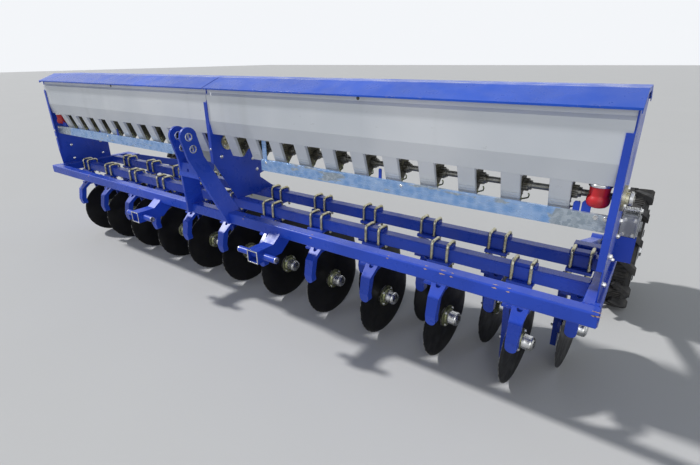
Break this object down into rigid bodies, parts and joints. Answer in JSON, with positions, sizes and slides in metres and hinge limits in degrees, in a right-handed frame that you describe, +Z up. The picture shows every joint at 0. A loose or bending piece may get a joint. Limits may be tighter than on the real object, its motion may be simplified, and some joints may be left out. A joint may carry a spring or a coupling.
{
  "type": "seed drill",
  "caption": "Mounted disc seed drill, 3.5 m wide, with two lidded seed boxes, single-disc openers on two toolbars and lugged drive wheels.",
  "frame": {"origin": "on the ground at the middle of the machine's length and width", "axes": "+X to the machine's right as the picture shows it, across the rows; -Y towards the hitch; +Z up"},
  "size_m": [3.512, 1.62, 1.12],
  "materials": {
    "blue_paint": "gloss",
    "white_paint": "gloss",
    "zinc": "satin",
    "galvanised": "satin",
    "disc_steel": "satin",
    "rim_paint": "satin",
    "tyre": "matte",
    "red_plastic": "gloss",
    "meter_cast": "satin",
    "drive_cast": "satin"
  },
  "bodies": {
    "machine": {"front_beam": "blue_paint", "end_beam_left": "blue_paint", "end_beam_right": "blue_paint", "toolbar_front": "blue_paint", "toolbar_rear": "blue_paint", "mast": "blue_paint", "hitch_left": "blue_paint", "hitch_right": "blue_paint", "end_plate_left": "blue_paint", "end_plate_right": "blue_paint", "mid_plate": "blue_paint", "box_left": "white_paint", "box_right": "white_paint", "box_rail_left": "white_paint", "box_rail_right": "white_paint", "chutes_left": "white_paint", "chutes_right": "white_paint", "meters_left": "meter_cast", "meters_right": "meter_cast", "drive_box": "drive_cast", "shaft_bearings": "zinc", "tray_left": "galvanised", "tray_right": "galvanised", "end_cups": "red_plastic", "openers_front": "blue_paint", "openers_rear": "blue_paint", "ubolts_front": "zinc", "ubolts_rear": "zinc", "wheel_arm_left": "blue_paint", "wheel_arm_right": "blue_paint"},
    "lid_left": {"lid_left": "blue_paint"},
    "lid_right": {"lid_right": "blue_paint"},
    "metering_shaft": {"metering_shaft": "zinc"},
    "wheel_left": {"rim_left": "rim_paint", "tyre_left": "tyre"},
    "wheel_right": {"rim_right": "rim_paint", "tyre_right": "tyre"},
    "disc_front_1": {"disc_front_1": "disc_steel"},
    "disc_front_2": {"disc_front_2": "disc_steel"},
    "disc_front_3": {"disc_front_3": "disc_steel"},
    "disc_front_4": {"disc_front_4": "disc_steel"},
    "disc_front_5": {"disc_front_5": "disc_steel"},
    "disc_front_6": {"disc_front_6": "disc_steel"},
    "disc_front_7": {"disc_front_7": "disc_steel"},
    "disc_front_8": {"disc_front_8": "disc_steel"},
    "disc_front_9": {"disc_front_9": "disc_steel"},
    "disc_front_10": {"disc_front_10": "disc_steel"},
    "disc_front_11": {"disc_front_11": "disc_steel"},
    "disc_rear_1": {"disc_rear_1": "disc_steel"},
    "disc_rear_2": {"disc_rear_2": "disc_steel"},
    "disc_rear_3": {"disc_rear_3": "disc_steel"},
    "disc_rear_4": {"disc_rear_4": "disc_steel"},
    "disc_rear_5": {"disc_rear_5": "disc_steel"},
    "disc_rear_6": {"disc_rear_6": "disc_steel"},
    "disc_rear_7": {"disc_rear_7": "disc_steel"},
    "disc_rear_8": {"disc_rear_8": "disc_steel"},
    "disc_rear_9": {"disc_rear_9": "disc_steel"},
    "disc_rear_10": {"disc_rear_10": "disc_steel"},
    "disc_rear_11": {"disc_rear_11": "disc_steel"}
  },
  "joints": [
    {"name": "lid_left_hinge", "type": "hinge", "parent": "machine", "child": "lid_left", "pos_m": [-0.831, -0.25, 1.072], "axis": [-1, 0, 0], "range_deg": [0, 100]},
    {"name": "lid_right_hinge", "type": "hinge", "parent": "machine", "child": "lid_right", "pos_m": [0.831, -0.25, 1.072], "axis": [-1, 0, 0], "range_deg": [0, 100]},
    {"name": "metering_spin", "type": "hinge", "parent": "machine", "child": "metering_shaft", "pos_m": [0, -0.517, 0.826], "axis": [1, 0, 0], "continuous": true},
    {"name": "wheel_left_spin", "type": "hinge", "parent": "machine", "child": "wheel_left", "pos_m": [-1.675, 0.51, 0.3], "axis": [1, 0, 0], "continuous": true},
    {"name": "wheel_right_spin", "type": "hinge", "parent": "machine", "child": "wheel_right", "pos_m": [1.675, 0.51, 0.3], "axis": [1, 0, 0], "continuous": true},
    {"name": "disc_front_1_spin", "type": "hinge", "parent": "machine", "child": "disc_front_1", "pos_m": [1.425, -0.385, 0.18], "axis": [0.9962, -0.0872, 0], "continuous": true},
    {"name": "disc_front_2_spin", "type": "hinge", "parent": "machine", "child": "disc_front_2", "pos_m": [1.125, -0.385, 0.18], "axis": [0.9962, -0.0872, 0], "continuous": true},
    {"name": "disc_front_3_spin", "type": "hinge", "parent": "machine", "child": "disc_front_3", "pos_m": [0.825, -0.385, 0.18], "axis": [0.9962, -0.0872, 0], "continuous": true},
    {"name": "disc_front_4_spin", "type": "hinge", "parent": "machine", "child": "disc_front_4", "pos_m": [0.525, -0.385, 0.18], "axis": [0.9962, -0.0872, 0], "continuous": true},
    {"name": "disc_front_5_spin", "type": "hinge", "parent": "machine", "child": "disc_front_5", "pos_m": [0.225, -0.385, 0.18], "axis": [0.9962, -0.0872, 0], "continuous": true},
    {"name": "disc_front_6_spin", "type": "hinge", "parent": "machine", "child": "disc_front_6", "pos_m": [-0.075, -0.385, 0.18], "axis": [0.9962, -0.0872, 0], "continuous": true},
    {"name": "disc_front_7_spin", "type": "hinge", "parent": "machine", "child": "disc_front_7", "pos_m": [-0.375, -0.385, 0.18], "axis": [0.9962, -0.0872, 0], "continuous": true},
    {"name": "disc_front_8_spin", "type": "hinge", "parent": "machine", "child": "disc_front_8", "pos_m": [-0.675, -0.385, 0.18], "axis": [0.9962, -0.0872, 0], "continuous": true},
    {"name": "disc_front_9_spin", "type": "hinge", "parent": "machine", "child": "disc_front_9", "pos_m": [-0.975, -0.385, 0.18], "axis": [0.9962, -0.0872, 0], "continuous": true},
    {"name": "disc_front_10_spin", "type": "hinge", "parent": "machine", "child": "disc_front_10", "pos_m": [-1.275, -0.385, 0.18], "axis": [0.9962, -0.0872, 0], "continuous": true},
    {"name": "disc_front_11_spin", "type": "hinge", "parent": "machine", "child": "disc_front_11", "pos_m": [-1.575, -0.385, 0.18], "axis": [0.9962, -0.0872, 0], "continuous": true},
    {"name": "disc_rear_1_spin", "type": "hinge", "parent": "machine", "child": "disc_rear_1", "pos_m": [1.575, -0.173, 0.18], "axis": [0.9962, -0.0872, 0], "continuous": true},
    {"name": "disc_rear_2_spin", "type": "hinge", "parent": "machine", "child": "disc_rear_2", "pos_m": [1.275, -0.173, 0.18], "axis": [0.9962, -0.0872, 0], "continuous": true},
    {"name": "disc_rear_3_spin", "type": "hinge", "parent": "machine", "child": "disc_rear_3", "pos_m": [0.975, -0.173, 0.18], "axis": [0.9962, -0.0872, 0], "continuous": true},
    {"name": "disc_rear_4_spin", "type": "hinge", "parent": "machine", "child": "disc_rear_4", "pos_m": [0.675, -0.173, 0.18], "axis": [0.9962, -0.0872, 0], "continuous": true},
    {"name": "disc_rear_5_spin", "type": "hinge", "parent": "machine", "child": "disc_rear_5", "pos_m": [0.375, -0.173, 0.18], "axis": [0.9962, -0.0872, 0], "continuous": true},
    {"name": "disc_rear_6_spin", "type": "hinge", "parent": "machine", "child": "disc_rear_6", "pos_m": [0.075, -0.173, 0.18], "axis": [0.9962, -0.0872, 0], "continuous": true},
    {"name": "disc_rear_7_spin", "type": "hinge", "parent": "machine", "child": "disc_rear_7", "pos_m": [-0.225, -0.173, 0.18], "axis": [0.9962, -0.0872, 0], "continuous": true},
    {"name": "disc_rear_8_spin", "type": "hinge", "parent": "machine", "child": "disc_rear_8", "pos_m": [-0.525, -0.173, 0.18], "axis": [0.9962, -0.0872, 0], "continuous": true},
    {"name": "disc_rear_9_spin", "type": "hinge", "parent": "machine", "child": "disc_rear_9", "pos_m": [-0.825, -0.173, 0.18], "axis": [0.9962, -0.0872, 0], "continuous": true},
    {"name": "disc_rear_10_spin", "type": "hinge", "parent": "machine", "child": "disc_rear_10", "pos_m": [-1.125, -0.173, 0.18], "axis": [0.9962, -0.0872, 0], "continuous": true},
    {"name": "disc_rear_11_spin", "type": "hinge", "parent": "machine", "child": "disc_rear_11", "pos_m": [-1.425, -0.173, 0.18], "axis": [0.9962, -0.0872, 0], "continuous": true}
  ]
}
